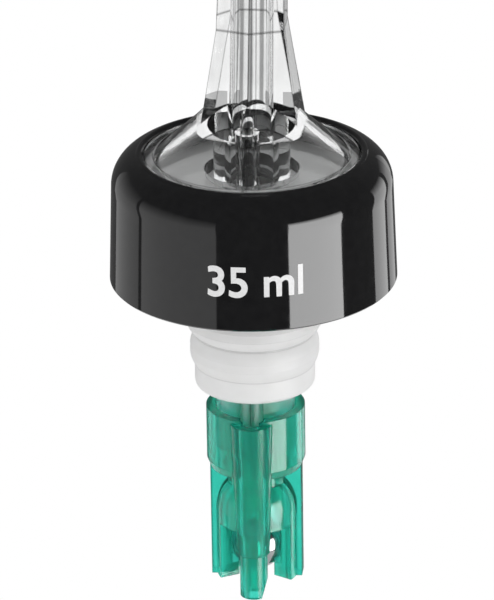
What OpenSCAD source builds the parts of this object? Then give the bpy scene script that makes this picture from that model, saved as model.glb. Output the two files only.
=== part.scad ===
// Measured pourer for a bottle: it pours one measure and then shuts itself off.
// Millimetres. The origin is on the axis, where the plug's flange rests on the bottle's lip.
// +Z is up, the vent is at the front (-Y) and the spout leans to the back (+Y).

/* [Balls] */
// Diameter of the ball that resets the measure
reset_ball_d = 8.731; // [7.5:0.001:10]
// Diameter of the ball that ends the measure
measuring_ball_d = 4.763; // [4.2:0.001:5.5]
// Diameter of the ball in the vent
vent_ball_d = 3.175; // [2.8:0.001:3.6]

/* [Ball cage] */
// Wall of the timing tube
timing_wall = 0.8; // [0.5:0.05:1.1]
// Width of the liquid's way between timing tube and stem
flow_gap = 1.67; // [1.3:0.01:2.4]
// Wall of the cage's ring
ring_wall = 1.55; // [1:0.05:2.4]
// Height of the ring
ring_h = 10.3; // [8.5:0.1:11]
// Height of the bevel at the ring's foot
ring_bevel_h = 1.4; // [0.5:0.1:2.5]
// How far the bevel draws the ring in
ring_bevel_w = 0.55; // [0.3:0.05:1]
// Width of the ledge inside the ring, on which the stem stands
ledge_w = 0.7; // [0.3:0.05:1]
// Wall of the neck between ring and bell
neck_wall = 2.1; // [1.4:0.1:2.2]
// Wall of the bell and its legs
bell_wall = 2.05; // [1.2:0.05:2.6]
// Distance from the ring's foot to the middle of the bell's dome
dome_drop = 7.4; // [6.9:0.1:10]
// Height of the bell's straight side
bell_h = 2.3; // [1:0.1:4]
// Length of the legs below the bell
leg_h = 9.6; // [8.4:0.1:12]
// Angle that each leg covers
leg_angle = 60; // [40:1:80]
// Width of the outer rib on each leg
strut_w = 3; // [2:0.1:4]
// How far the outer ribs stand out from the legs
strut_proud = 0.75; // [0.3:0.05:1.2]
// Thickness of the floor between the dome and the measuring ball
ball_floor_t = 1.8; // [1.2:0.1:2.6]
// Diameter of the drain hole under the measuring ball
drain_d = 3.6; // [2.6:0.1:4]
// Width of the drain slots beside that hole
drain_slot_w = 1; // [0.6:0.1:1.4]
// Diameter of the metering hole into the timing tube
meter_hole_d = 1; // [0.6:0.1:1.6]
// Gap between the timing tube and the shut-off seat
timing_gap = 1.6; // [1:0.1:2]
// How far the lips reach in under the reset ball
lip_reach = 1.25; // [0.8:0.05:1.8]
// Height of those lips
lip_h = 2.3; // [1.2:0.1:3]

/* [Vent] */
// Wall between the vent ball's way and the bell
vent_web = 0.3; // [0.2:0.05:0.8]
// Outside diameter of the vent tube
vent_tube_d = 3.6; // [3.4:0.1:4]
// Bore of the vent tube
vent_bore_d = 2.2; // [1.6:0.1:2.6]
// Height of the vent tube above the stem's disc
vent_rise = 8.4; // [4:0.1:9]
// Wall of the vent housing at its rim
housing_rim_wall = 1.6; // [1:0.05:2]
// Distance from the ring's top to the housing's rim
housing_rim_drop = 0.55; // [0:0.05:2]
// Wall of the vent housing at its foot
housing_foot_wall = 0.95; // [0.6:0.05:1.5]
// Length of the housing below the vent ball's seat
housing_foot_h = 3.4; // [2:0.1:5]
// Diameter of the tip below the housing
tip_d = 4.4; // [3.8:0.1:5]
// Length of that tip
tip_h = 7.5; // [4:0.1:10]
// Bore of the tip
tip_bore_d = 2.6; // [1.6:0.1:2.8]
// Height of the bevel on one side of the tip's end
tip_bevel_h = 2.9; // [0:0.1:3.5]
// Width of that bevel
tip_bevel_w = 0.8; // [0.3:0.05:0.85]
// Travel of the vent ball
vent_travel = 11.7; // [8:0.1:13]

/* [Bottle plug] */
// Wall of the plug at the vent
plug_wall = 1.25; // [0.8:0.05:2.5]
// Height of the lowest rib above the plug's body
rib_proud = 0.7; // [0.4:0.05:1.2]
// How much further each rib stands out than the one below it
rib_growth = 0.6; // [0:0.05:0.8]
// Number of ribs
rib_count = 4; // [2:1:4]
// Height of one rib
rib_h = 5.2; // [4:0.1:5.4]
// Height of the flat land round the crest of a rib
rib_land = 1.4; // [0.8:0.1:2]
// Distance from one rib to the next
rib_pitch = 5.4; // [5.2:0.1:6]
// Height of the lowest rib's middle above the plug's end
rib_first = 6.4; // [5:0.1:7]
// Length of the plug below its flange
plug_length = 31.3; // [28:0.1:38]
// Radius of the plug's rounded end
plug_round = 1; // [0.3:0.1:1.1]
// Width of the flange that rests on the bottle's lip, beyond the widest rib
lip_seat_w = 6.8; // [1.5:0.1:6.9]
// Thickness of that flange
flange_t = 1.5; // [1.4:0.1:3]

/* [Stem] */
// Wall of the stem
stem_wall = 1.2; // [0.8:0.05:1.8]
// How far the stem reaches into the cage
stem_plug = 6; // [4:0.1:7]
// Gap between the plug's end and the cage
cage_gap = 3.7; // [1:0.1:6]
// Thickness of the disc on top of the stem
disc_t = 3.5; // [2.6:0.1:5]
// Depth of the recess in that disc
recess_depth = 2; // [1:0.1:2.6]
// Gap round the chimney in the recess
recess_gap = 1.4; // [0.5:0.1:2]
// Diameter of the liquid's way out of the stem
outlet_d = 6.8; // [5:0.1:7.6]
// Depth of the shut-off seat below the bottle's lip
seat_depth = 20; // [12:0.5:26]
// Thickness of the shut-off seat
seat_t = 2; // [1:0.1:4]
// Diameter of the hole in the shut-off seat
seat_hole_d = 4; // [3:0.1:4.3]

/* [Spout] */
// Thickness of the spout's flange
spout_flange_t = 1.6; // [1:0.1:3]
// Width of that flange round the flare
spout_flange_w = 4.2; // [3:0.1:7]
// Height of the step on that flange, which fills the collar's opening
step_h = 0.9; // [0.4:0.1:1.2]
// Diameter of the flare's foot
flare_d = 31; // [28:0.1:33]
// Diameter of the flare's top
flare_top_d = 6.2; // [5:0.1:8]
// Height of the flare above that step
flare_h = 12.1; // [10.5:0.1:13]
// Radius of the flare's hollow curve
flare_round = 70; // [40:1:120]
// Wall of the flare
flare_wall = 1.8; // [1.2:0.1:2.4]
// Depth of the spout's flat underside in the flare's hollow, below the flare's top
roof_t = 8.3; // [7:0.1:8.5]
// Height of the hollow round the spout above that underside
groove_h = 3; // [1:0.1:4]
// Wall of the chimney inside the flare
chimney_wall = 2.6; // [1.6:0.1:3]
// Lean of the spout above its crease
lean = 16; // [0:1:22]
// Lean of the spout below its crease
root_lean = 8; // [0:1:12]
// Depth of the spout's root below the flare's top
root_depth = 10.6; // [9:0.1:11.5]
// Half width of the spout at its root
half_root = 8.2; // [7:0.1:8.5]
// Half width of the spout at the crease
half_crease = 5.25; // [4.6:0.05:7]
// Half width of the spout at its tip
half_tip = 4.5; // [4.2:0.1:6]
// How much nearer than the sides the front ridge is to the spout's axis
ridge_cut = 0.6; // [0:0.05:0.8]
// Slope of the two front facets beside that ridge
ridge_slope = 18; // [6:0.5:20]
// How much further than the sides the flat back is from the spout's axis
back_extra = 1; // [0:0.05:1.5]
// Chamfer of the spout's back edges
back_chamfer = 2.2; // [0.5:0.1:2.5]
// Height of the crease above the spout's root
crease_rise = 18.9; // [14:0.1:26]
// Length of the spout above its crease
spout_length = 28.5; // [16:0.5:40]
// Bore of the spout
spout_bore_d = 6.2; // [5:0.1:6.6]

/* [Collar] */
// Wall of the collar's skirt
collar_wall = 2.65; // [1.4:0.05:3]
// Loss of radius from the skirt's edge to the shoulder
collar_draft = 0.55; // [0:0.05:0.8]
// Depth of the skirt below the bottle's lip
skirt_depth = 13; // [8:0.5:20]
// Chamfer of the skirt's edge
skirt_chamfer = 0.3; // [0:0.1:0.8]
// Radius of the rounded shoulder
shoulder_round = 5.4; // [3:0.1:6]
// Width of the step between the flare's foot and the collar's lip
opening_gap = 1.5; // [1:0.1:3.5]
// Thickness of the collar's lip
lip_t = 1.3; // [0.8:0.1:2.4]
// Number of snap tabs inside the collar
tab_count = 6; // [3:1:8]
// Angle that each tab covers
tab_angle = 14; // [6:1:24]
// Height of a tab
tab_h = 1; // [0.5:0.1:1.6]
// How far a tab reaches under the disc
tab_reach = 0.6; // [0.3:0.1:1.2]

/* [Clearances] */
// Radial clearance between pieces that are pressed together
fit_gap = 0.05; // [0.02:0.01:0.1]
// Radial clearance of the collar round the flanges
collar_gap = 0.25; // [0.1:0.05:0.5]
// Radial clearance of the collar's lip round the step
step_gap = 0.2; // [0.1:0.05:0.4]
// Radial clearance of the reset ball in the bell
reset_gap = 0.1; // [0.05:0.01:0.2]
// Radial clearance of the measuring ball in the timing tube
measuring_gap = 0.2; // [0.1:0.01:0.3]
// Radial clearance of the vent ball in its housing
vent_gap = 0.07; // [0.04:0.01:0.15]
// Gap between faces that stand on each other
face_gap = 0.05; // [0.02:0.01:0.1]
// Gap that a ball keeps to the edge that it rests on
rest_gap = 0.02; // [0.01:0.01:0.05]

/* [Hidden] */
$fn = 96;
// How far a cutting shape runs past the face that it cuts
cut = 1;
// How deep a piece of a union runs into its neighbour
sink = 0.4;

// Radii, from the balls outwards
reset_r = reset_ball_d / 2;
measuring_r = measuring_ball_d / 2;
vent_ball_r = vent_ball_d / 2;
bell_bore_r = reset_r + reset_gap;
bell_r = bell_bore_r + bell_wall;
strut_r = bell_r + strut_proud;
lip_hole_r = bell_bore_r - lip_reach;
timing_bore_r = measuring_r + measuring_gap;
timing_r = timing_bore_r + timing_wall;
neck_r = timing_bore_r + neck_wall;
drain_r = drain_d / 2;
stem_bore_r = timing_r + flow_gap;
stem_r = stem_bore_r + stem_wall;
ring_bore_r = stem_r + fit_gap;
ring_r = ring_bore_r + ring_wall;
ring_foot_r = ring_r - ring_bevel_w;
ledge_r = ring_bore_r - ledge_w;
vent_way_r = vent_ball_r + vent_gap;
vent_offset = bell_bore_r + vent_web + vent_way_r;
vent_r = vent_tube_d / 2;
vent_bore_r = vent_bore_d / 2;
vent_socket_r = vent_r + fit_gap;
housing_rim_r = vent_socket_r + housing_rim_wall;
housing_foot_r = vent_way_r + housing_foot_wall;
tip_r = tip_d / 2;
tip_bore_r = tip_bore_d / 2;
plug_r = vent_offset + vent_socket_r + plug_wall;
widest_rib_r = rib_r(rib_count - 1);
flange_r = widest_rib_r + lip_seat_w;
outlet_r = outlet_d / 2;
seat_hole_r = seat_hole_d / 2;
chimney_r = outlet_r + chimney_wall;
recess_r = chimney_r + recess_gap;
flare_r = flare_d / 2;
flare_top_r = flare_top_d / 2;
spout_flange_r = flare_r + spout_flange_w;
opening_r = flare_r + opening_gap;
step_r = opening_r - step_gap;
collar_bore_r = spout_flange_r + collar_gap;
collar_r = collar_bore_r + collar_wall;
shoulder_r = collar_r - collar_draft;
spout_bore_r = spout_bore_d / 2;

// Heights, from the bottle's lip upwards
disc_z = flange_t + face_gap;
disc_top = disc_z + disc_t;
recess_z = disc_top - recess_depth;
chimney_z = recess_z + face_gap;
vent_top = disc_top + vent_rise;
socket_top = vent_top + face_gap;
spout_z = disc_top + face_gap;
spout_flange_top = spout_z + spout_flange_t;
lip_z = spout_flange_top + face_gap;
step_top = spout_flange_top + step_h;
flare_top = step_top + flare_h;
roof_z = flare_top - roof_t;
groove_top = roof_z + groove_h;
root_z = flare_top - root_depth;
crease_z = root_z + crease_rise;
crease_y = crease_rise * tan(root_lean);
collar_top = lip_z + lip_t;

// Heights, from the bottle's lip downwards
seat_z = -seat_depth;
plug_z = -plug_length;
ring_top = plug_z - cage_gap;
stem_z = ring_top - stem_plug;
ledge_z = stem_z - face_gap;
ring_z = ring_top - ring_h;
dome_z = ring_z - dome_drop;
bell_z = dome_z - bell_h;
leg_z = bell_z - leg_h;
lip_top = leg_z + lip_h;
ball_ledge_z = dome_z + bell_bore_r + ball_floor_t;
timing_top = seat_z - timing_gap;
housing_rim_z = ring_top - housing_rim_drop;

// Where the balls rest: each stands on the edge of a round hole
reset_z = lip_top + chord_height(reset_r, lip_hole_r) + rest_gap;
measuring_z = ball_ledge_z + chord_height(measuring_r, drain_r) + rest_gap;
vent_ball_top_z = stem_z - chord_height(vent_ball_r, vent_bore_r) - rest_gap;
vent_ball_z = vent_ball_top_z - vent_travel;
vent_seat_z = vent_ball_z - rest_gap - chord_height(vent_ball_r, tip_bore_r);
housing_z = vent_seat_z - housing_foot_h;
tip_z = housing_z - tip_h;

// How far a ball of radius r stands clear of the edge of a hole of radius h
function chord_height(r, h) = sqrt(r * r - h * h);

// Crest radius of rib i, counted from the plug's end
function rib_r(i) = plug_r + rib_proud + i * rib_growth;

// Radius at which the rib's round side is centred, for crest radius r
function rib_centre(r) =
    (r * r - plug_r * plug_r + (rib_land * rib_land - rib_h * rib_h) / 4) / (2 * (r - plug_r));

// Centre of the arc of radius r that bulges towards the axis from p down to q
function arc_centre(p, q, r) =
    let (mid = (p + q) / 2, along = q - p, half = norm(along) / 2)
    mid + [-along[1], along[0]] / norm(along) * sqrt(r * r - half * half);

// Level outline of the spout, for half width w: a ridge in front, a flat at the back
function spout_outline(w) =
    let (ridge = ridge_cut - w, corner = ridge + w * tan(ridge_slope))
    let (back = w + back_extra, flat = w - back_chamfer)
    [[0, ridge], [w, corner], [w, back - back_chamfer], [flat, back],
     [-flat, back], [-w, back - back_chamfer], [-w, corner]];

// A cylinder between two heights
module post(r, z0, z1) {
    translate([0, 0, z0]) cylinder(r = r, h = z1 - z0);
}

// A cylinder between two heights, on the vent's axis
module vent_post(r, z0, z1) {
    translate([0, -vent_offset, 0]) post(r, z0, z1);
}

// Half section of a domed shape: a straight side from z0 to z1 and a dome of radius r above it
module dome_profile(r, z0, z1) {
    translate([0, z0]) square([r, z1 - z0]);
    intersection() {
        translate([0, z1]) circle(r = r);
        translate([0, z1 - sink]) square([r, r + 2 * sink]);
    }
}

// Outside of the spout: level outlines at root and crease, and one above the tip
module spout_prism() {
    tip_rise = (spout_length + 2 * half_tip) * cos(lean);
    heights = [root_z, crease_z, crease_z + tip_rise];
    shifts = [0, crease_y, crease_y + tip_rise * tan(lean)];
    halves = [half_root, half_crease, half_tip];
    count = len(spout_outline(1));
    points = [for (i = [0:2]) for (p = spout_outline(halves[i])) [p[0], p[1] + shifts[i], heights[i]]];
    sides = [for (i = [0:1]) for (j = [0:count - 1])
        let (k = (j + 1) % count)
        [i * count + j, (i + 1) * count + j, (i + 1) * count + k, i * count + k]];
    bottom = [for (j = [0:count - 1]) j];
    top = [for (j = [count - 1:-1:0]) 2 * count + j];
    polyhedron(points = points, faces = concat([bottom, top], sides));
}

// Bore of the spout, straight from the middle of its root to the middle of its tip
module spout_bore() {
    run = crease_y + spout_length * sin(lean);
    rise = crease_rise + spout_length * cos(lean);
    translate([0, 0, root_z])
        rotate([-atan(run / rise), 0, 0]) cylinder(r = spout_bore_r, h = norm([run, rise]) + cut);
}

// What lies beyond the spout's square tip
module beyond_tip() {
    translate([0, crease_y, crease_z])
        rotate([-lean, 0, 0])
            translate([-half_root, -spout_length, spout_length])
                cube([2 * half_root, 2 * spout_length, spout_length]);
}

// Flare below a hollow curve: extra moves the curve inwards, and top and foot end it
module flare(extra, foot_z, top_z) {
    centre = arc_centre([flare_top_r, flare_top], [flare_r, step_top], flare_round);
    rotate_extrude()
        difference() {
            translate([0, foot_z]) square([flare_r - extra / 2, top_z - foot_z]);
            translate(centre) circle(r = flare_round + extra, $fn = 192);
        }
}

module spout() {
    color([0.93, 0.95, 0.96, 0.35])
        difference() {
            union() {
                post(spout_flange_r, spout_z, spout_flange_top);
                post(step_r, spout_z, step_top);
                flare(0, step_top - sink, flare_top);
                spout_prism();
            }
            difference() {
                flare(flare_wall, spout_z - cut, groove_top);
                post(chimney_r, spout_z - cut, groove_top + cut);
                intersection() {
                    spout_prism();
                    post(flare_r, roof_z, groove_top + cut);
                }
            }
            rotate_extrude() dome_profile(outlet_r, chimney_z - cut, root_z);
            spout_bore();
            beyond_tip();
            vent_post(vent_socket_r, spout_z - cut, socket_top);
            vent_post(vent_bore_r, socket_top - cut, flare_top + cut);
        }
    color([0.93, 0.95, 0.96, 0.35])
        difference() {
            post(chimney_r, chimney_z, spout_z + sink);
            post(outlet_r, chimney_z - cut, spout_z + cut);
            vent_post(vent_socket_r, chimney_z - cut, spout_z + cut);
        }
}

module collar() {
    color([0.02, 0.02, 0.022]) {
        rotate_extrude()
            difference() {
                union() {
                    polygon([
                        [collar_bore_r - sink, -skirt_depth],
                        [collar_r - skirt_chamfer, -skirt_depth],
                        [collar_r, -skirt_depth + skirt_chamfer],
                        [shoulder_r, collar_top - shoulder_round],
                        [collar_bore_r - sink, collar_top - shoulder_round]]);
                    intersection() {
                        translate([shoulder_r - shoulder_round, collar_top - shoulder_round])
                            circle(r = shoulder_round);
                        translate([opening_r + lip_t / 2, collar_top - shoulder_round - sink])
                            square([shoulder_r, shoulder_round + sink + cut]);
                    }
                    translate([opening_r + lip_t / 2, lip_z + lip_t / 2])
                        circle(d = lip_t);
                }
                translate([0, -skirt_depth - cut])
                    square([collar_bore_r, lip_z + skirt_depth + cut]);
            }
        for (i = [0:tab_count - 1])
            rotate([0, 0, 360 * i / tab_count - tab_angle / 2])
                translate([0, 0, disc_z - fit_gap - tab_h])
                    rotate_extrude(angle = tab_angle)
                        translate([spout_flange_r - tab_reach, 0])
                            square([tab_reach + collar_gap + sink, tab_h]);
    }
}

module stem() {
    color([0.93, 0.95, 0.96, 0.35])
        difference() {
            union() {
                post(spout_flange_r, disc_z, disc_top);
                post(stem_r, stem_z, disc_z + sink);
                vent_post(vent_r, stem_z, vent_top);
            }
            difference() {
                union() {
                    post(stem_bore_r, stem_z - cut, seat_z);
                    post(seat_hole_r, seat_z - cut, seat_z + seat_t + cut);
                    post(stem_bore_r, seat_z + seat_t, disc_z - stem_wall);
                    post(outlet_r, disc_z - stem_wall - cut, recess_z + cut);
                    post(recess_r, recess_z, disc_top + cut);
                }
                vent_post(vent_r, stem_z - 2 * cut, vent_top);
            }
            vent_post(vent_bore_r, stem_z - cut, vent_top + cut);
        }
}

module cork_plug() {
    color([0.92, 0.92, 0.9])
        difference() {
            union() {
                post(flange_r, 0, flange_t);
                rotate_extrude() {
                    translate([0, plug_z + plug_round]) square([plug_r, plug_length - plug_round + sink]);
                    translate([0, plug_z]) square([plug_r - plug_round, plug_round + sink]);
                    translate([plug_r - plug_round, plug_z + plug_round]) circle(r = plug_round);
                }
                for (i = [0:rib_count - 1]) rib(rib_r(i), plug_z + rib_first + i * rib_pitch);
            }
            post(stem_r + fit_gap, plug_z - cut, flange_t + cut);
            vent_post(vent_socket_r, plug_z - cut, flange_t + cut);
        }
}

// One rib of the plug: round sides and a flat land of radius r
module rib(r, z) {
    centre = rib_centre(r);
    translate([0, 0, z])
        rotate_extrude()
            intersection() {
                translate([centre, 0]) circle(r = norm([r - centre, rib_land / 2]));
                translate([plug_r - sink, -rib_h / 2]) square([r - plug_r + sink, rib_h]);
            }
}

module ball_cage() {
    color([0.05, 0.6, 0.47, 0.7])
        difference() {
            union() {
                ring_and_housing();
                rotate_extrude() timing_profile();
                bell();
            }
            rotate_extrude() dome_profile(bell_bore_r, lip_top, dome_z);
            post(lip_hole_r, leg_z - cut, lip_top + cut);
            post(drain_r, dome_z, ball_ledge_z + cut);
            post(timing_bore_r, ball_ledge_z, timing_top + cut);
            for (turn = [0, 90])
                rotate([0, 0, turn])
                    translate([-timing_bore_r + fit_gap, -drain_slot_w / 2, ball_ledge_z - ball_floor_t / 2])
                        cube([2 * (timing_bore_r - fit_gap), drain_slot_w, ball_floor_t]);
            translate([0, 0, ball_ledge_z + meter_hole_d])
                rotate([-90, 0, 0]) cylinder(d = meter_hole_d, h = neck_r + cut);
            vent_post(vent_way_r, vent_seat_z, stem_z + cut);
            vent_post(tip_bore_r, tip_z - cut, vent_seat_z + cut);
        }
}

// Half section of the timing tube, with the neck at its foot
module timing_profile() {
    neck_top = (stem_z + ring_z) / 2;
    polygon([
        [0, dome_z + bell_bore_r], [neck_r, dome_z + bell_bore_r],
        [neck_r, neck_top], [timing_r, neck_top + neck_r - timing_r],
        [timing_r, timing_top], [0, timing_top]]);
}

// The bell, open in front and behind so that two ribbed legs are left
module bell() {
    gap_angle = 180 - leg_angle;
    difference() {
        rotate_extrude() dome_profile(bell_r, leg_z, dome_z);
        for (side = [90, 270])
            rotate([0, 0, side - gap_angle / 2])
                translate([0, 0, leg_z - cut])
                    rotate_extrude(angle = gap_angle) square([bell_r + cut, bell_z - leg_z + cut]);
    }
    for (side = [0, 180])
        rotate([0, 0, side])
            translate([lip_hole_r - sink, -strut_w / 2, leg_z])
                cube([strut_r - lip_hole_r + sink, strut_w, ring_z + sink - leg_z]);
}

// The ring, with its ledge for the stem, and the vent's housing at its front
module ring_and_housing() {
    difference() {
        union() {
            post(ring_r, ring_z + ring_bevel_h, ring_top);
            translate([0, 0, ring_z]) cylinder(r1 = ring_foot_r, r2 = ring_r, h = ring_bevel_h);
            vent_housing();
        }
        post(ring_bore_r, ledge_z, ring_top + cut);
        vent_post(vent_socket_r, ledge_z, ring_top + cut);
        difference() {
            post(ledge_r, ring_z - sink, stem_z + cut);
            vent_post(housing_foot_r, ring_z - cut, stem_z + 2 * cut);
        }
    }
}

// The vent's housing, and below it the tip with a steep bevel on one side of its end
module vent_housing() {
    translate([0, -vent_offset, housing_z])
        cylinder(r1 = housing_foot_r, r2 = housing_rim_r, h = housing_rim_z - housing_z);
    difference() {
        vent_post(tip_r, tip_z, housing_z + sink);
        translate([0, -vent_offset, 0])
            rotate([90, 0, 0])
                linear_extrude(height = 2 * tip_d, center = true)
                    polygon([
                        [tip_r - 2 * tip_bevel_w, tip_z - tip_bevel_h],
                        [tip_r + tip_bevel_w, tip_z - tip_bevel_h],
                        [tip_r + tip_bevel_w, tip_z + 2 * tip_bevel_h]]);
    }
}

module steel_ball(r, y, z) {
    color([0.8, 0.8, 0.82]) translate([0, y, z]) sphere(r = r);
}

module reset_ball() { steel_ball(reset_r, 0, reset_z); }
module measuring_ball() { steel_ball(measuring_r, 0, measuring_z); }
module vent_ball() { steel_ball(vent_ball_r, -vent_offset, vent_ball_z); }

spout();
collar();
stem();
cork_plug();
ball_cage();
reset_ball();
measuring_ball();
vent_ball();
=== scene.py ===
"""Looks of the measured pourer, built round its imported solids."""
import math

import bmesh
import bpy
from mathutils import Matrix, Vector


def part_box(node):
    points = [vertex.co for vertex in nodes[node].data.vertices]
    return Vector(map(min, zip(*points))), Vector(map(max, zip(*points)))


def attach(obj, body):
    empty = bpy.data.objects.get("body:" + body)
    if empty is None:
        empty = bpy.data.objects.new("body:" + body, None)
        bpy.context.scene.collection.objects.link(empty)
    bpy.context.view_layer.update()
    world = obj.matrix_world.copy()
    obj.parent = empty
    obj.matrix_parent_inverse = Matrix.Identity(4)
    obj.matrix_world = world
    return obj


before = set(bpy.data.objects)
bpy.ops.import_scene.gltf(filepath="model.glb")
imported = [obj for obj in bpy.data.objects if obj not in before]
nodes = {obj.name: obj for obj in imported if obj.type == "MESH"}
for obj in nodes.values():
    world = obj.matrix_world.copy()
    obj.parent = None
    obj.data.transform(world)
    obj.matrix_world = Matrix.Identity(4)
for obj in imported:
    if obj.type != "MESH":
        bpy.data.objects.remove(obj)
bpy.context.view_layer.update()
scene = bpy.context.scene

MM = 0.001
WHITE = (1, 1, 1, 1)

# Camera, found by laying the solids over the photograph.
IMAGE_W = 494
IMAGE_H = 600
CAM_AZIMUTH = math.radians(6.0)
CAM_ELEVATION = math.radians(23.2)
CAM_ROLL = math.radians(-0.9)
CAM_DISTANCE = 800 * MM
CAM_NEAR = 0.01
CAM_FAR = 20
PIXELS_PER_MM = 6.36
AIM = Vector((0, 0, -13 * MM))
AIM_PIXEL = (253.6, 275.05)
SENSOR_MM = 36.0

# Floor, well below the hanging part.
FLOOR_Z = -450 * MM
FLOOR_RADIUS = 700 * MM
FLOOR_SIDES = 128
FLOOR_COLOUR = (0.85, 0.85, 0.85, 1)
FLOOR_ROUGHNESS = 0.9
FLOOR_THROUGH = 0.2

# Softboxes: cards that show in gloss, and fills that light matte surfaces.
CARD_DISTANCE = 0.75
CARD_FOOT = -0.44
FILL_DISTANCE = 0.9
FILL_FOOT = -0.1
FILL_TOP = 0.6
FILL_HALF_ANGLE = 25

# World light: on matte surfaces, in gloss, and through clear plastic towards the front and the back.
MATTE_LEVEL = 0.74
GLOSS_LEVEL = 0.12
THROUGH_FRONT = 0.75
THROUGH_BACK = 1.0
FRONT_Y = -0.3
BACK_Y = 0.6

# Upright strips of the tent round the part, light and dark in turn, that show through clear plastic.
# A cosine round the tent makes them, and they fade out between two heights.
STRIPS = 16
STRIP_DARK = 0.4
WAVE_DARK = -0.6
WAVE_LIGHT = 0.2
STRIP_FADE_LOW = -0.1
STRIP_FADE_HIGH = 0.3

# Where on a noise's scale the first and the second tone of a colour are reached.
TONE_LOW = 0.3
TONE_HIGH = 0.7

# Painted edge shade: how far a rounded normal agrees with the face's where the shade starts and where it
# is full.
EDGE_START = 0.998
EDGE_FULL = 0.97
EDGE_SAMPLES = 6
CORNER_SAMPLES = 8

# Widths on the mouldings of the parting line, and of the painted shade lines on the crease and along
# edges.
PARTING_HALF = 0.16 * MM
CREASE_HALF = 0.35 * MM
CLEAR_EDGE = 0.3 * MM
SOFT_EDGE = 0.25 * MM

# The stem's tubes are frosted from this height down.
FROST_Z = -4 * MM
FROST_ROUGHNESS = 0.65

# Lean of the spout's upper part, which its tip is square to, and how nearly the tip's face looks along it.
SPOUT_LEAN = math.radians(16)
TIP_FACING = 0.995

# Painted shade streaks along the spout, for the dark bands that refraction makes: they grow from its root
# up, and are this fine across and along it.
STREAK_SHADE_LOW = 15 * MM
STREAK_SHADE_FULL = 32 * MM
STREAK_SHADE_ACROSS = 400
STREAK_SHADE_ALONG = 9
STREAK_SHADE_DARK = 0.8

# The level crease round the spout, which gets a painted shade line, and the middle and reach of the bore
# that the line keeps clear of.
CREASE_Z = 28 * MM
CORE_Y = 4.3 * MM
CORE_R = 4 * MM

# The hollow under the spout's root, whose upright walls get painted shade: their heights, how far to the
# side of the vent they start, and how little an upright wall looks up or down.
HOLLOW_LOW = 11.2 * MM
HOLLOW_HIGH = 14.6 * MM
HOLLOW_SIDE = 3.6 * MM
HOLLOW_UPRIGHT = 0.4

# The collar's skirt: its chamfer, its rounded shoulder and its draft.
SKIRT_CHAMFER = 0.3 * MM
SHOULDER_ROUND = 5.4 * MM
SKIRT_DRAFT = 0.55 * MM

# Measure printed on the collar.
MARK_TEXT = "35 ml"
MARK_STEPS = 6
MARK_HEIGHT = 5.1 * MM
MARK_Z = -4.8 * MM
MARK_AZIMUTH = math.radians(6.6)
MARK_LIFT = 0.05 * MM
MARK_BOLD = 0.022


def add_camera():
    """A camera at the photograph's angle, with the frame's centre moved by aiming, not by shift."""
    level = math.cos(CAM_ELEVATION)
    forward_x = -math.sin(CAM_AZIMUTH) * level
    forward_y = math.cos(CAM_AZIMUTH) * level
    forward = Vector((forward_x, forward_y, -math.sin(CAM_ELEVATION)))
    right = Vector((math.cos(CAM_AZIMUTH), math.sin(CAM_AZIMUTH), 0))
    up = right.cross(forward)
    c = math.cos(CAM_ROLL)
    s = math.sin(CAM_ROLL)
    right, up = c * right + s * up, c * up - s * right
    off_x = (AIM_PIXEL[0] - IMAGE_W / 2) / PIXELS_PER_MM * MM
    off_y = (IMAGE_H / 2 - AIM_PIXEL[1]) / PIXELS_PER_MM * MM
    target = AIM - off_x * right - off_y * up
    data = bpy.data.cameras.new("camera")
    data.sensor_width = SENSOR_MM
    data.lens = SENSOR_MM * PIXELS_PER_MM * CAM_DISTANCE / MM / max(IMAGE_W, IMAGE_H)
    data.clip_start = CAM_NEAR
    data.clip_end = CAM_FAR
    camera = bpy.data.objects.new("camera", data)
    place = Matrix((right, up, -forward)).transposed().to_4x4()
    place.translation = target - forward * CAM_DISTANCE
    camera.matrix_world = place
    scene.collection.objects.link(camera)
    scene.camera = camera


def put(tree, place, value):
    """Sets a node's input to a constant, or links another node's output to it."""
    if isinstance(value, bpy.types.NodeSocket):
        tree.links.new(value, place)
    else:
        place.default_value = value


def settle(node, values):
    """Sets constant inputs of a node by their names."""
    for name, value in values.items():
        node.inputs[name].default_value = value


def calc(tree, operation, *values):
    """The result of a sum on constants and outputs."""
    node = tree.nodes.new("ShaderNodeMath")
    node.operation = operation
    for place, value in zip(node.inputs, values):
        put(tree, place, value)
    return node.outputs["Value"]


def vector_calc(tree, operation, *values):
    """The outputs of a sum on vectors."""
    node = tree.nodes.new("ShaderNodeVectorMath")
    node.operation = operation
    for place, value in zip(node.inputs, values):
        put(tree, place, value)
    return node.outputs


def ramp(tree, value, start, end, low, high, curve="LINEAR"):
    """Goes from low to high while a value goes from start to end, and stays level outside."""
    node = tree.nodes.new("ShaderNodeMapRange")
    node.interpolation_type = curve
    put(tree, node.inputs["Value"], value)
    put(tree, node.inputs["From Min"], start)
    put(tree, node.inputs["From Max"], end)
    put(tree, node.inputs["To Min"], low)
    put(tree, node.inputs["To Max"], high)
    return node.outputs["Result"]


def spread(tree, value, low, high):
    """Spreads a 0 to 1 value over a range."""
    return ramp(tree, value, 0.0, 1.0, low, high)


def split(tree, vector):
    """The X, Y and Z of a vector."""
    node = tree.nodes.new("ShaderNodeSeparateXYZ")
    tree.links.new(vector, node.inputs["Vector"])
    return node.outputs


def coordinates(tree):
    """Coordinates on the object's surface: Object in its own metres, Normal the way the face looks."""
    return tree.nodes.new("ShaderNodeTexCoord").outputs


def new_material(name):
    """An empty node material and its shader, ready for links."""
    material = bpy.data.materials.new(name)
    material.use_nodes = True
    tree = material.node_tree
    return material, tree, tree.nodes["Principled BSDF"]


def add_noise(tree, scale, detail=3.0):
    """Noise in the object's own metres."""
    noise = tree.nodes.new("ShaderNodeTexNoise")
    settle(noise, {"Scale": scale, "Detail": detail})
    tree.links.new(coordinates(tree)["Object"], noise.inputs["Vector"])
    return noise.outputs["Fac"]


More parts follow.
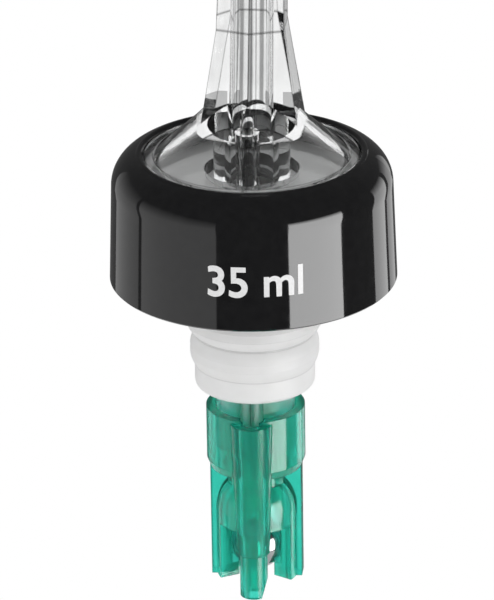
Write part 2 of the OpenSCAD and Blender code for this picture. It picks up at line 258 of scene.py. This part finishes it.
def add_streaks(tree, across, along, lean=0.0):
    """Noise drawn out along the part's axis, or along a line that leans back from it."""
    stretch = tree.nodes.new("ShaderNodeMapping")
    stretch.vector_type = "TEXTURE"
    settle(stretch, {"Rotation": (-lean, 0, 0), "Scale": (1 / across, 1 / across, 1 / along)})
    tree.links.new(coordinates(tree)["Object"], stretch.inputs["Vector"])
    noise = tree.nodes.new("ShaderNodeTexNoise")
    settle(noise, {"Scale": 1.0, "Detail": 2.0})
    tree.links.new(stretch.outputs["Vector"], noise.inputs["Vector"])
    return noise.outputs["Fac"]


def two_tone(tree, value, low, high):
    """A colour between two, by a 0 to 1 value."""
    node = tree.nodes.new("ShaderNodeValToRGB")
    first, second = node.color_ramp.elements
    first.position = TONE_LOW
    second.position = TONE_HIGH
    first.color = (*low, 1)
    second.color = (*high, 1)
    tree.links.new(value, node.inputs["Fac"])
    return node.outputs["Color"]


def multiply(tree, colour, level):
    """A colour made darker by a 0 to 1 level."""
    mix = tree.nodes.new("ShaderNodeMix")
    mix.data_type = "RGBA"
    mix.blend_type = "MULTIPLY"
    mix.inputs["Factor"].default_value = 1.0
    tree.links.new(colour, mix.inputs["A"])
    tree.links.new(level, mix.inputs["B"])
    return mix.outputs["Result"]


def darken(tree, colour, mask, dark):
    """A colour that falls to a part of itself where a mask is 1."""
    return multiply(tree, colour, spread(tree, mask, 1.0, dark))


def painted_corner_shade(tree, colour, distance, dark):
    """Painted shade: darkens a colour in hollow corners, by how much the nearby surface blocks the light.
    """
    hollow = tree.nodes.new("ShaderNodeAmbientOcclusion")
    hollow.inputs["Distance"].default_value = distance
    hollow.samples = CORNER_SAMPLES
    return multiply(tree, colour, spread(tree, hollow.outputs["AO"], dark, 1.0))


def bump(tree, shader, value, strength, distance):
    """Fine relief on a shader's normal."""
    node = tree.nodes.new("ShaderNodeBump")
    settle(node, {"Strength": strength, "Distance": distance})
    tree.links.new(value, node.inputs["Height"])
    tree.links.new(node.outputs["Normal"], shader.inputs["Normal"])


def thin_line(tree, value, half_width):
    """1 where a value is 0, falling softly to 0 at half the line's width."""
    return ramp(tree, calc(tree, "ABSOLUTE", value), 0.0, half_width, 1.0, 0.0, "SMOOTHSTEP")


def parting_line(tree):
    """1 on the mould's parting line, in the plane that halves the part, and 0 beside it."""
    at = split(tree, coordinates(tree)["Object"])
    return thin_line(tree, at["X"], PARTING_HALF)


def painted_edge_shade(tree, radius):
    """1 along sharp edges, for painted shade where a moulding's small rounds bend the light away, and 0 on
    the faces.
    """
    rounded = tree.nodes.new("ShaderNodeBevel")
    rounded.samples = EDGE_SAMPLES
    rounded.inputs["Radius"].default_value = radius
    face = tree.nodes.new("ShaderNodeNewGeometry")
    agree = vector_calc(tree, "DOT_PRODUCT", rounded.outputs["Normal"], face.outputs["Normal"])["Value"]
    return ramp(tree, calc(tree, "ABSOLUTE", agree), EDGE_START, EDGE_FULL, 0.0, 1.0)


def painted_crease_shade(tree):
    """1 on the level crease round the spout's outside, where a painted shade line goes, and 0 elsewhere.
    """
    middle = (0, CORE_Y, CREASE_Z)
    at = split(tree, vector_calc(tree, "SUBTRACT", coordinates(tree)["Object"], middle)["Vector"])
    line = thin_line(tree, at["Z"], CREASE_HALF)
    flat = tree.nodes.new("ShaderNodeCombineXYZ")
    tree.links.new(at["X"], flat.inputs["X"])
    tree.links.new(at["Y"], flat.inputs["Y"])
    reach = vector_calc(tree, "LENGTH", flat.outputs["Vector"])["Value"]
    return calc(tree, "MULTIPLY", line, calc(tree, "GREATER_THAN", reach, CORE_R))


def painted_hollow_shade(tree):
    """1 on the upright walls in the hollow under the spout's root, where painted shade goes, and 0
    elsewhere.
    """
    place = coordinates(tree)
    at = split(tree, place["Object"])
    facing = split(tree, place["Normal"])
    upright = calc(tree, "LESS_THAN", calc(tree, "ABSOLUTE", facing["Z"]), HOLLOW_UPRIGHT)
    above = calc(tree, "GREATER_THAN", at["Z"], HOLLOW_LOW)
    below = calc(tree, "LESS_THAN", at["Z"], HOLLOW_HIGH)
    beside = calc(tree, "GREATER_THAN", calc(tree, "ABSOLUTE", at["X"]), HOLLOW_SIDE)
    band = calc(tree, "MULTIPLY", above, below)
    return calc(tree, "MULTIPLY", upright, calc(tree, "MULTIPLY", band, beside))


def painted_streak_shade(tree):
    """Painted shade: a level that falls along streaks in the spout, for the dark bands of refraction, and
    is 1 below its root.
    """
    at = split(tree, coordinates(tree)["Object"])
    below = ramp(tree, at["Z"], STREAK_SHADE_LOW, STREAK_SHADE_FULL, 1.0, 0.0)
    streaks = add_streaks(tree, STREAK_SHADE_ACROSS, STREAK_SHADE_ALONG, SPOUT_LEAN)
    streaks = two_tone(tree, streaks, low=(STREAK_SHADE_DARK, STREAK_SHADE_DARK, STREAK_SHADE_DARK), high=(1, 1, 1))
    return calc(tree, "MAXIMUM", streaks, below)


def frosted_tubes(tree):
    """1 on the stem below its disc, and 0 elsewhere."""
    at = split(tree, coordinates(tree)["Object"])
    return calc(tree, "LESS_THAN", at["Z"], FROST_Z)


def tip_face(tree):
    """1 on the spout's cut tip, and 0 elsewhere."""
    out = (0, math.sin(SPOUT_LEAN), math.cos(SPOUT_LEAN))
    facing = vector_calc(tree, "DOT_PRODUCT", coordinates(tree)["Normal"], out)["Value"]
    return calc(tree, "GREATER_THAN", facing, TIP_FACING)


def clear_plastic():
    """Clear moulding with a dark parting line, painted shade along edges, on the crease, on the hollow's
    walls and in streaks, and matt tip and tubes.
    """
    material, tree, shader = new_material("clear_plastic")
    settle(shader, {
        "Transmission Weight": 0.995,
        "IOR": 1.22,
        "Coat Weight": 0.25,
        "Coat Roughness": 0.02,
        "Coat IOR": 1.5,
    })
    noise = add_noise(tree, scale=900)
    clear = two_tone(tree, noise, low=(0.98, 0.985, 0.985), high=(0.99, 0.995, 0.995))
    clear = darken(tree, clear, parting_line(tree), dark=0.2)
    # Painted shade on the crease, along the edges, on the hollow's walls and in streaks for refraction's
    # dark bands.
    clear = darken(tree, clear, painted_crease_shade(tree), dark=0.15)
    clear = darken(tree, clear, painted_edge_shade(tree, CLEAR_EDGE), dark=0.15)
    clear = darken(tree, clear, painted_hollow_shade(tree), dark=0.3)
    clear = multiply(tree, clear, painted_streak_shade(tree))
    tree.links.new(clear, shader.inputs["Base Color"])
    matt = calc(tree, "MAXIMUM", tip_face(tree), frosted_tubes(tree))
    matt = spread(tree, matt, low=0.0, high=FROST_ROUGHNESS)
    gloss = spread(tree, noise, low=0.0, high=0.05)
    tree.links.new(calc(tree, "MAXIMUM", gloss, matt), shader.inputs["Roughness"])
    bump(tree, shader, add_streaks(tree, across=900, along=60), strength=0.15, distance=0.1 * MM)
    return material


def black_plastic():
    """Glossy black moulding, slightly uneven."""
    material, tree, shader = new_material("black_plastic")
    shader.inputs["IOR"].default_value = 1.5
    noise = add_noise(tree, scale=700)
    black = two_tone(tree, noise, low=(0.005, 0.005, 0.0055), high=(0.008, 0.008, 0.0085))
    tree.links.new(black, shader.inputs["Base Color"])
    tree.links.new(spread(tree, noise, low=0.03, high=0.08), shader.inputs["Roughness"])
    bump(tree, shader, add_noise(tree, scale=120, detail=1.0), strength=0.04, distance=0.2 * MM)
    return material


def white_polyethylene():
    """Waxy white plastic, a little see-through, with painted shade along its edges and in hollow corners.
    """
    material, tree, shader = new_material("white_polyethylene")
    settle(shader, {
        "IOR": 1.4,
        "Subsurface Weight": 1.0,
        "Subsurface Radius": (1.0, 1.0, 0.98),
        "Subsurface Scale": 0.5 * MM,
        "Transmission Weight": 0.15,
    })
    noise = add_noise(tree, scale=300)
    pale = two_tone(tree, noise, low=(0.9, 0.9, 0.895), high=(0.94, 0.94, 0.935))
    # Painted shade along the edges and in hollow corners.
    pale = darken(tree, pale, painted_edge_shade(tree, SOFT_EDGE), dark=0.6)
    pale = painted_corner_shade(tree, pale, distance=0.7 * MM, dark=0.7)
    tree.links.new(pale, shader.inputs["Base Color"])
    tree.links.new(spread(tree, noise, low=0.42, high=0.52), shader.inputs["Roughness"])
    bump(tree, shader, add_noise(tree, scale=500, detail=2.0), strength=0.08, distance=0.1 * MM)
    return material


def green_plastic():
    """See-through green moulding that deepens with its thickness, with painted shade along its edges."""
    material, tree, shader = new_material("green_plastic")
    settle(shader, {
        "IOR": 1.45,
        "Transmission Weight": 0.84,
        "Subsurface Weight": 1.0,
        "Subsurface Radius": (0.4, 1.0, 0.85),
        "Subsurface Scale": 1.2 * MM,
    })
    noise = add_noise(tree, scale=260)
    green = two_tone(tree, noise, low=(0.06, 0.73, 0.59), high=(0.09, 0.79, 0.65))
    # Painted shade along the edges.
    green = darken(tree, green, painted_edge_shade(tree, SOFT_EDGE), dark=0.4)
    tree.links.new(green, shader.inputs["Base Color"])
    tree.links.new(spread(tree, noise, low=0.08, high=0.14), shader.inputs["Roughness"])
    bump(tree, shader, add_noise(tree, scale=200, detail=1.0), strength=0.05, distance=0.2 * MM)
    depth = tree.nodes.new("ShaderNodeVolumeAbsorption")
    settle(depth, {"Color": (0.04, 0.79, 0.67, 1), "Density": 150})
    tree.links.new(depth.outputs["Volume"], tree.nodes["Material Output"].inputs["Volume"])
    return material


def polished_steel():
    """Polished steel of the balls."""
    material, tree, shader = new_material("polished_steel")
    shader.inputs["Metallic"].default_value = 1.0
    noise = add_noise(tree, scale=1500)
    steel = two_tone(tree, noise, low=(0.4, 0.4, 0.41), high=(0.48, 0.48, 0.49))
    tree.links.new(steel, shader.inputs["Base Color"])
    tree.links.new(spread(tree, noise, low=0.04, high=0.1), shader.inputs["Roughness"])
    return material


def white_ink():
    """Printed white ink."""
    material, tree, shader = new_material("white_ink")
    noise = add_noise(tree, scale=2500)
    ink = two_tone(tree, noise, low=(0.72, 0.72, 0.72), high=(0.8, 0.8, 0.8))
    tree.links.new(ink, shader.inputs["Base Color"])
    tree.links.new(spread(tree, noise, low=0.35, high=0.5), shader.inputs["Roughness"])
    return material


def dress_nodes():
    """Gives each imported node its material."""
    clear = clear_plastic()
    steel = polished_steel()
    looks = {
        "spout": clear,
        "stem": clear,
        "collar": black_plastic(),
        "cork_plug": white_polyethylene(),
        "ball_cage": green_plastic(),
        "reset_ball": steel,
        "measuring_ball": steel,
        "vent_ball": steel,
    }
    for name, material in looks.items():
        for place in nodes[name].material_slots:
            place.material = material


def collar_radius(z):
    """Outer radius of the collar's skirt at a height, from its solid's straight side."""
    low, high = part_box("collar")
    foot_r = high.x
    foot_z = low.z + SKIRT_CHAMFER
    shoulder_z = high.z - SHOULDER_ROUND
    return foot_r - SKIRT_DRAFT * (z - foot_z) / (shoulder_z - foot_z)


def embolden(flat, amount):
    """Moves the outline of a flat mesh outwards."""
    mesh = bmesh.new()
    mesh.from_mesh(flat)
    moves = {}
    for edge in mesh.edges:
        if edge.is_boundary:
            loop = edge.link_loops[0]
            along = loop.link_loop_next.vert.co - loop.vert.co
            out = Vector((along.y, -along.x, 0)).normalized()
            for vertex in edge.verts:
                moves[vertex] = moves.get(vertex, Vector()) + out
    for vertex, move in moves.items():
        vertex.co += amount * move.normalized()
    mesh.to_mesh(flat)
    mesh.free()


def add_mark():
    """The measure in figures, bent round the collar as a thin coat of ink."""
    curve = bpy.data.curves.new("measure_mark", "FONT")
    curve.body = MARK_TEXT
    curve.align_x = "CENTER"
    curve.align_y = "CENTER"
    curve.resolution_u = MARK_STEPS
    text = bpy.data.objects.new("measure_mark_text", curve)
    scene.collection.objects.link(text)
    bpy.context.view_layer.update()
    shaped = text.evaluated_get(bpy.context.evaluated_depsgraph_get())
    flat = bpy.data.meshes.new_from_object(shaped)
    bpy.data.objects.remove(text)
    embolden(flat, MARK_BOLD)
    heights = [vertex.co.y for vertex in flat.vertices]
    middle = (max(heights) + min(heights)) / 2
    scale = MARK_HEIGHT / (max(heights) - min(heights))
    for vertex in flat.vertices:
        z = MARK_Z + (vertex.co.y - middle) * scale
        r = collar_radius(z) + MARK_LIFT
        turn = MARK_AZIMUTH + vertex.co.x * scale / r
        vertex.co = Vector((r * math.sin(turn), -r * math.cos(turn), z))
    mark = bpy.data.objects.new("measure_mark", flat)
    scene.collection.objects.link(mark)
    flat.materials.clear()
    flat.materials.append(white_ink())
    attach(mark, "pourer")


def add_lamp(name, azimuth, distance, low, high, half_angle, glow):
    """An upright softbox. Its azimuth is from the camera's, and its glow is how bright it looks."""
    turn = CAM_AZIMUTH + math.radians(azimuth)
    middle = (low + high) / 2
    place = Vector((distance * math.sin(turn), -distance * math.cos(turn), middle))
    data = bpy.data.lights.new(name, "AREA")
    data.shape = "RECTANGLE"
    data.size = 2 * distance * math.tan(math.radians(half_angle))
    data.size_y = high - low
    data.energy = math.pi * data.size * data.size_y * glow
    lamp = bpy.data.objects.new(name, data)
    lamp.location = place
    lamp.rotation_mode = "QUATERNION"
    lamp.rotation_quaternion = (Vector((0, 0, middle)) - place).to_track_quat("-Z", "Y")
    lamp.visible_camera = False
    scene.collection.objects.link(lamp)
    return lamp


def fade_top(data, depth):
    """Lets a softbox grow dim over some depth below its top."""
    data.use_nodes = True
    tree = data.node_tree
    place = tree.nodes.new("ShaderNodeNewGeometry")
    at = split(tree, place.outputs["Parametric"])
    level = ramp(tree, at["Y"], 1.0 - depth / data.size_y, 1.0, 1.0, 0.0)
    tree.links.new(level, tree.nodes["Emission"].inputs["Strength"])


def add_card(name, azimuth, top, fade, half_angle, glow):
    """A softbox that shows in gloss only: no light on matte surfaces and none through plastic."""
    lamp = add_lamp(name, azimuth, CARD_DISTANCE, CARD_FOOT, top, half_angle, glow)
    fade_top(lamp.data, fade)
    lamp.visible_diffuse = False
    lamp.visible_transmission = False


def add_fill(name, azimuth, glow):
    """A softbox that lights matte surfaces and doesn't show in gloss."""
    lamp = add_lamp(name, azimuth, FILL_DISTANCE, FILL_FOOT, FILL_TOP, FILL_HALF_ANGLE, glow)
    lamp.visible_glossy = False
    lamp.visible_transmission = False


def add_lights():
    """Softboxes at the places where the black collar mirrors them in the photograph."""
    add_card("card_left", azimuth=-65, top=0.3, fade=0.36, half_angle=35.5, glow=0.9)
    add_card("card_left_back", azimuth=-124, top=0.3, fade=0.36, half_angle=20, glow=0.6)
    add_card("card_right", azimuth=51, top=0.18, fade=0.12, half_angle=23.3, glow=8.4)
    add_card("card_right_back", azimuth=123, top=0.2, fade=0.2, half_angle=11, glow=2.2)
    add_card("card_right_edge", azimuth=148, top=0.2, fade=0.2, half_angle=9, glow=0.9)
    add_fill("fill_left", azimuth=-45, glow=0.9)
    add_fill("fill_right", azimuth=50, glow=1.2)


def tent_strips(tree, toward):
    """A level that falls on the tent's dark strips."""
    around = calc(tree, "ARCTAN2", toward["X"], toward["Y"])
    turns = calc(tree, "MULTIPLY_ADD", around, STRIPS, STRIPS * CAM_AZIMUTH)
    wave = calc(tree, "COSINE", turns)
    dark = ramp(tree, toward["Z"], STRIP_FADE_LOW, STRIP_FADE_HIGH, STRIP_DARK, 1.0)
    return ramp(tree, wave, WAVE_DARK, WAVE_LIGHT, dark, 1.0)


def grey_light(tree, level):
    """World light of one level."""
    node = tree.nodes.new("ShaderNodeBackground")
    node.inputs["Color"].default_value = (level, level, level, 1)
    return node.outputs["Background"]


def by_ray(tree, path, kind, others, chosen):
    """One shader for a kind of ray and another for the rest."""
    mix = tree.nodes.new("ShaderNodeMixShader")
    tree.links.new(path.outputs[kind], mix.inputs["Fac"])
    tree.links.new(others, mix.inputs[1])
    tree.links.new(chosen, mix.inputs[2])
    return mix.outputs["Shader"]


def add_world():
    """White behind the part, and softer levels for gloss, clear plastic and matte surfaces."""
    world = bpy.data.worlds.new("studio")
    world.use_nodes = True
    scene.world = world
    tree = world.node_tree
    tree.nodes.clear()
    out = tree.nodes.new("ShaderNodeOutputWorld")
    toward = split(tree, coordinates(tree)["Generated"])
    level = ramp(tree, toward["Y"], FRONT_Y, BACK_Y, THROUGH_FRONT, THROUGH_BACK)
    level = calc(tree, "MULTIPLY", level, tent_strips(tree, toward))
    through = tree.nodes.new("ShaderNodeBackground")
    through.inputs["Color"].default_value = WHITE
    tree.links.new(level, through.inputs["Strength"])
    path = tree.nodes.new("ShaderNodeLightPath")
    matte = grey_light(tree, MATTE_LEVEL)
    light = by_ray(tree, path, "Is Glossy Ray", matte, grey_light(tree, GLOSS_LEVEL))
    light = by_ray(tree, path, "Is Transmission Ray", light, through.outputs["Background"])
    light = by_ray(tree, path, "Is Camera Ray", light, grey_light(tree, 1))
    tree.links.new(light, out.inputs["Surface"])


def add_floor():
    """A pale floor, white to the camera and brighter through clear plastic."""
    bpy.ops.mesh.primitive_circle_add(
        vertices=FLOOR_SIDES, radius=FLOOR_RADIUS, fill_type="NGON", location=(0, 0, FLOOR_Z))
    floor = bpy.context.object
    floor.name = "floor"
    material, tree, shader = new_material("floor")
    settle(shader, {
        "Base Color": FLOOR_COLOUR,
        "Roughness": FLOOR_ROUGHNESS,
        "Emission Color": WHITE,
    })
    path = tree.nodes.new("ShaderNodeLightPath").outputs
    seen = calc(tree, "MULTIPLY_ADD", path["Is Transmission Ray"], FLOOR_THROUGH, path["Is Camera Ray"])
    tree.links.new(seen, shader.inputs["Emission Strength"])
    floor.data.materials.append(material)


add_camera()
add_world()
add_floor()
add_lights()
dress_nodes()
add_mark()

scene.view_settings.view_transform = "Standard"
